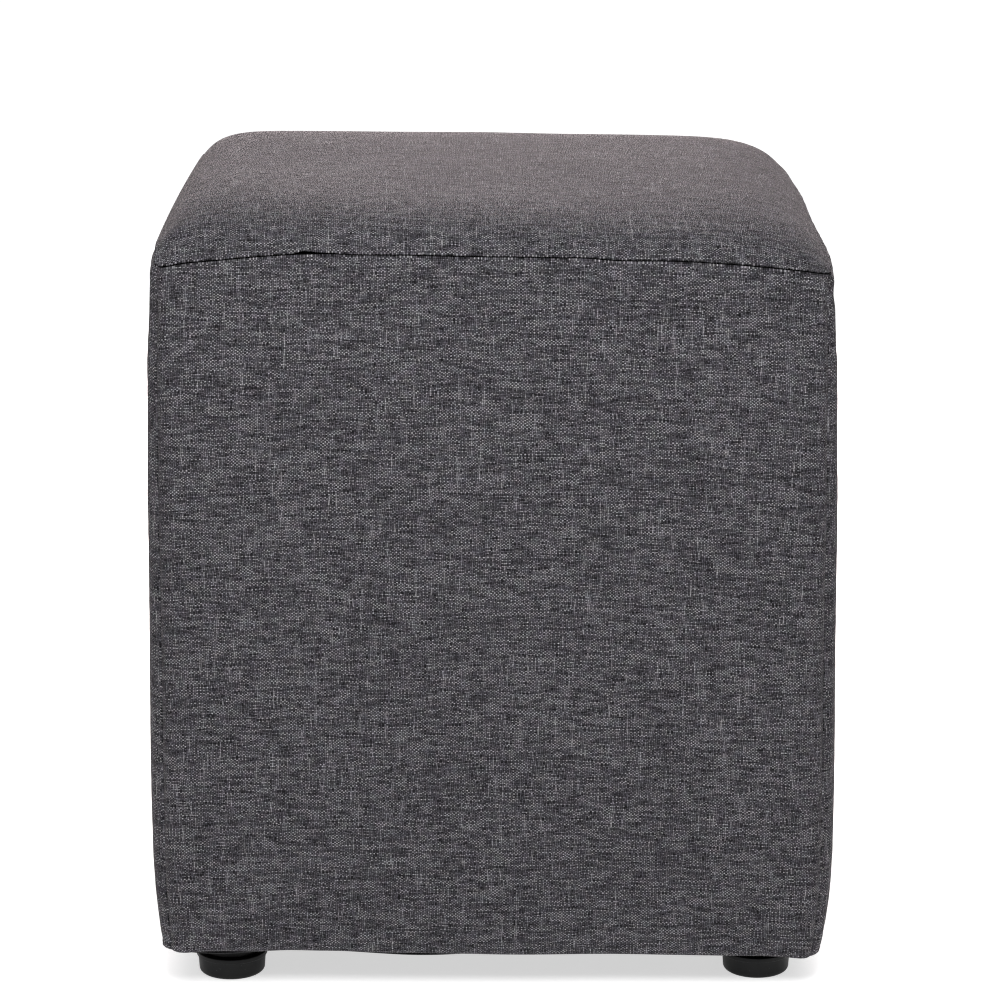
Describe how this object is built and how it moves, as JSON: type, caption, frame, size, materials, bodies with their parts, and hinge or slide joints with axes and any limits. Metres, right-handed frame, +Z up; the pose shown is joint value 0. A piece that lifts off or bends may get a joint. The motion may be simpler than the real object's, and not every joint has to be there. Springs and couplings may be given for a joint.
{
  "type": "cube pouf stool",
  "caption": "Cube pouf stool in grey melange cloth: crowned top and padded side panels sewn edge to edge, a black cloth below and short black plastic feet.",
  "frame": {"origin": "on the floor, under the middle of the stool", "axes": "+Z up, -Y towards the front of the picture, +X to the right seen from the front"},
  "size_m": [0.35, 0.35, 0.4016],
  "materials": {
    "grey_cloth": "plain-woven melange upholstery cloth, charcoal and light grey yarns",
    "black_cloth": "thin black non-woven cloth",
    "black_plastic": "moulded black plastic, fine grain"
  },
  "bodies": {
    "root": {"top_panel": "grey_cloth", "front_panel": "grey_cloth", "back_panel": "grey_cloth", "left_panel": "grey_cloth", "right_panel": "grey_cloth", "bottom_cloth": "black_cloth", "foot_front_left": "black_plastic", "foot_front_right": "black_plastic", "foot_back_left": "black_plastic", "foot_back_right": "black_plastic"}
  },
  "joints": []
}
